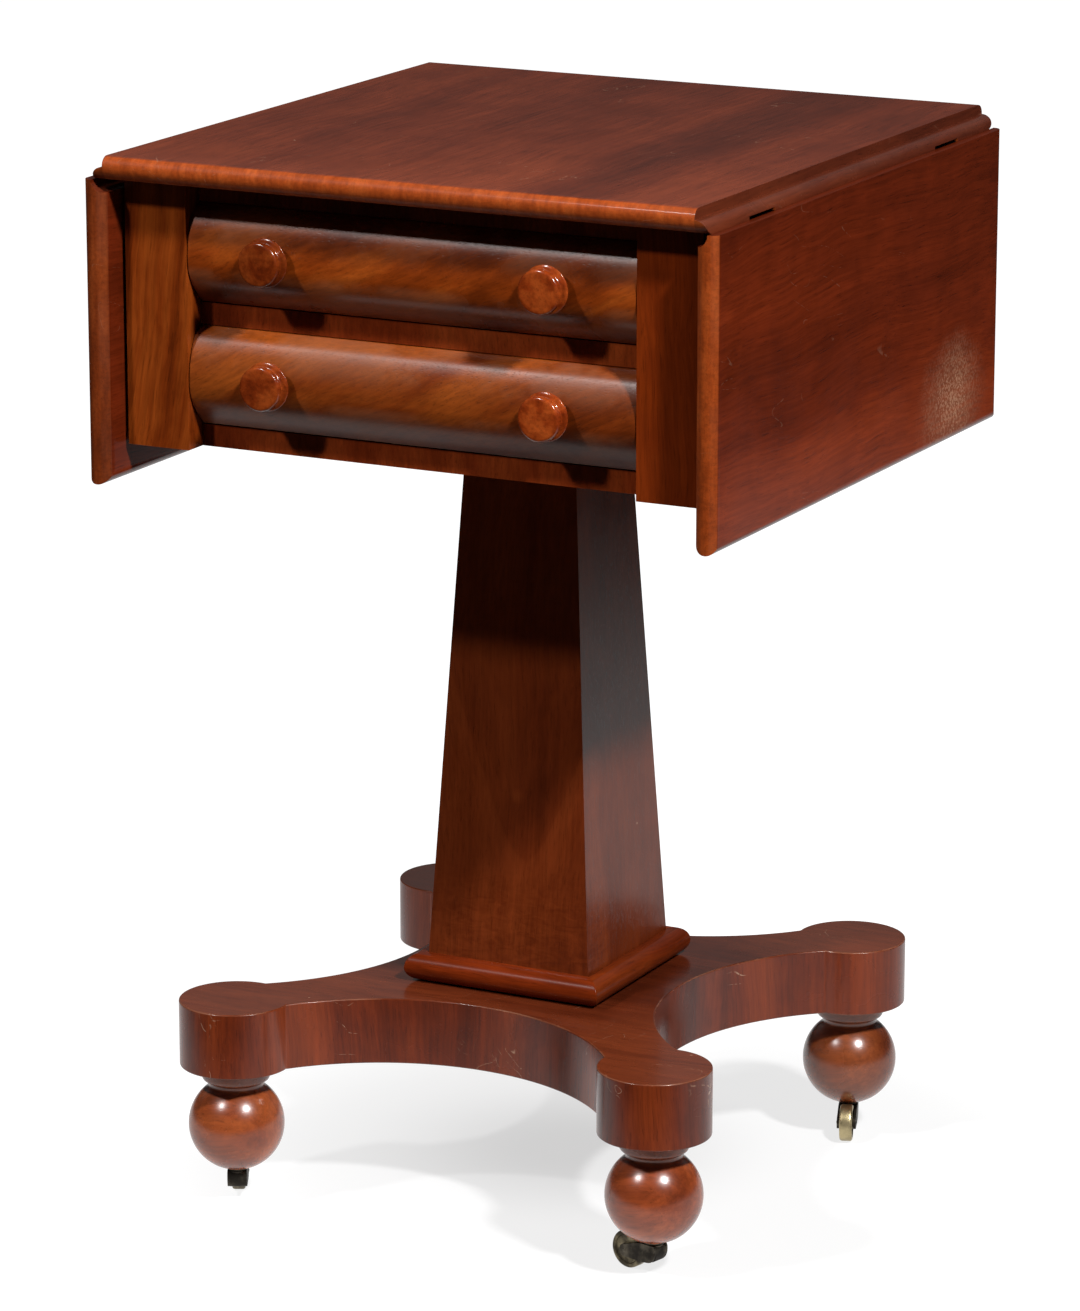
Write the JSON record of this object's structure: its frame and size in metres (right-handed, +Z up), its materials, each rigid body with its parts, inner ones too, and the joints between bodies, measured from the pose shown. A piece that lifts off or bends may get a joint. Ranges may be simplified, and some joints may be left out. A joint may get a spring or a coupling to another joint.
{
  "type": "drop-leaf work table",
  "caption": "Drop-leaf work table with rounded drawer fronts and turned knobs, on a tapered square pedestal with a lobed platform, ball feet and brass casters.",
  "frame": {"origin": "on the floor under the middle of the table top", "axes": "+Z up, +X to the right of someone facing the drawers, the drawers open towards -Y"},
  "size_m": [0.4642, 0.466, 0.7392],
  "materials": {
    "top_mahogany": "french polished, dark red brown",
    "case_mahogany": "french polished",
    "figured_mahogany": "french polished, figured, golden brown",
    "base_mahogany": "french polished, worn along the edges",
    "drawer_lining": "bare secondary wood",
    "caster_brass": "aged",
    "hinge_bronze": "dark, aged"
  },
  "bodies": {
    "frame": {"case_back": "case_mahogany", "case_bottom": "case_mahogany", "case_side_left": "case_mahogany", "case_side_right": "case_mahogany", "caster_socket_back_left": "caster_brass", "caster_socket_back_right": "caster_brass", "caster_socket_front_left": "caster_brass", "caster_socket_front_right": "caster_brass", "column": "case_mahogany", "column_moulding": "figured_mahogany", "foot_back_left": "base_mahogany", "foot_back_right": "base_mahogany", "foot_front_left": "base_mahogany", "foot_front_right": "base_mahogany", "hinge_left_back_top_flap": "hinge_bronze", "hinge_left_front_top_flap": "hinge_bronze", "hinge_right_back_top_flap": "hinge_bronze", "hinge_right_front_top_flap": "hinge_bronze", "leaf_support_left": "case_mahogany", "leaf_support_right": "case_mahogany", "lower_guide_left": "drawer_lining", "lower_guide_right": "drawer_lining", "platform": "base_mahogany", "rail_bottom": "case_mahogany", "rail_middle": "case_mahogany", "rail_top": "case_mahogany", "stile_left": "case_mahogany", "stile_right": "case_mahogany", "table_top": "top_mahogany", "upper_runner_left": "drawer_lining", "upper_runner_right": "drawer_lining"},
    "wheel_back_left": {"caster_wheel_back_left": "caster_brass"},
    "wheel_back_right": {"caster_wheel_back_right": "caster_brass"},
    "wheel_front_left": {"caster_wheel_front_left": "caster_brass"},
    "wheel_front_right": {"caster_wheel_front_right": "caster_brass"},
    "caster_back_left": {"caster_yoke_back_left": "caster_brass"},
    "caster_back_right": {"caster_yoke_back_right": "caster_brass"},
    "caster_front_left": {"caster_yoke_front_left": "caster_brass"},
    "caster_front_right": {"caster_yoke_front_right": "caster_brass"},
    "drawer_lower": {"drawer_lower_back": "drawer_lining", "drawer_lower_bottom": "drawer_lining", "drawer_lower_front": "figured_mahogany", "drawer_lower_side_left": "drawer_lining", "drawer_lower_side_right": "drawer_lining", "knob_lower_left": "figured_mahogany", "knob_lower_right": "figured_mahogany"},
    "drawer_upper": {"drawer_upper_back": "drawer_lining", "drawer_upper_bottom": "drawer_lining", "drawer_upper_front": "figured_mahogany", "drawer_upper_side_left": "drawer_lining", "drawer_upper_side_right": "drawer_lining", "knob_upper_left": "figured_mahogany", "knob_upper_right": "figured_mahogany"},
    "leaf_left": {"hinge_left_back_leaf_flap": "hinge_bronze", "hinge_left_front_leaf_flap": "hinge_bronze", "leaf_left": "top_mahogany"},
    "leaf_right": {"hinge_right_back_leaf_flap": "hinge_bronze", "hinge_right_front_leaf_flap": "hinge_bronze", "leaf_right": "top_mahogany"}
  },
  "joints": [
    {"name": "leaf_left_hinge", "type": "hinge", "parent": "frame", "child": "leaf_left", "pos_m": [-0.2163, 0, 0.72341], "axis": [0, 1, 0], "range_deg": [0, 90]},
    {"name": "leaf_right_hinge", "type": "hinge", "parent": "frame", "child": "leaf_right", "pos_m": [0.2163, 0, 0.72341], "axis": [0, -1, 0], "range_deg": [0, 90]},
    {"name": "drawer_upper_slide", "type": "slide", "parent": "frame", "child": "drawer_upper", "axis": [0, -1, 0], "range_m": [0, 0.28]},
    {"name": "drawer_lower_slide", "type": "slide", "parent": "frame", "child": "drawer_lower", "axis": [0, -1, 0], "range_m": [0, 0.28]},
    {"name": "swivel_front_left", "type": "hinge", "parent": "frame", "child": "caster_front_left", "pos_m": [-0.161, -0.169, 0.0132], "axis": [0, 0, 1], "continuous": true},
    {"name": "roll_front_left", "type": "hinge", "parent": "caster_front_left", "child": "wheel_front_left", "pos_m": [-0.17023, -0.15089, 0.0132], "axis": [-0.891, -0.454, 0], "continuous": true},
    {"name": "swivel_front_right", "type": "hinge", "parent": "frame", "child": "caster_front_right", "pos_m": [0.161, -0.169, 0.0132], "axis": [0, 0, 1], "continuous": true},
    {"name": "roll_front_right", "type": "hinge", "parent": "caster_front_right", "child": "wheel_front_right", "pos_m": [0.14136, -0.16374, 0.0132], "axis": [-0.2588, -0.9659, 0], "continuous": true},
    {"name": "swivel_back_left", "type": "hinge", "parent": "frame", "child": "caster_back_left", "pos_m": [-0.161, 0.153, 0.0132], "axis": [0, 0, 1], "continuous": true},
    {"name": "roll_back_left", "type": "hinge", "parent": "caster_back_left", "child": "wheel_back_left", "pos_m": [-0.14543, 0.16607, 0.0132], "axis": [-0.6428, 0.766, 0], "continuous": true},
    {"name": "swivel_back_right", "type": "hinge", "parent": "frame", "child": "caster_back_right", "pos_m": [0.161, 0.153, 0.0132], "axis": [0, 0, 1], "continuous": true},
    {"name": "roll_back_right", "type": "hinge", "parent": "caster_back_right", "child": "wheel_back_right", "pos_m": [0.16795, 0.1339, 0.0132], "axis": [0.9397, 0.342, 0], "continuous": true}
  ]
}
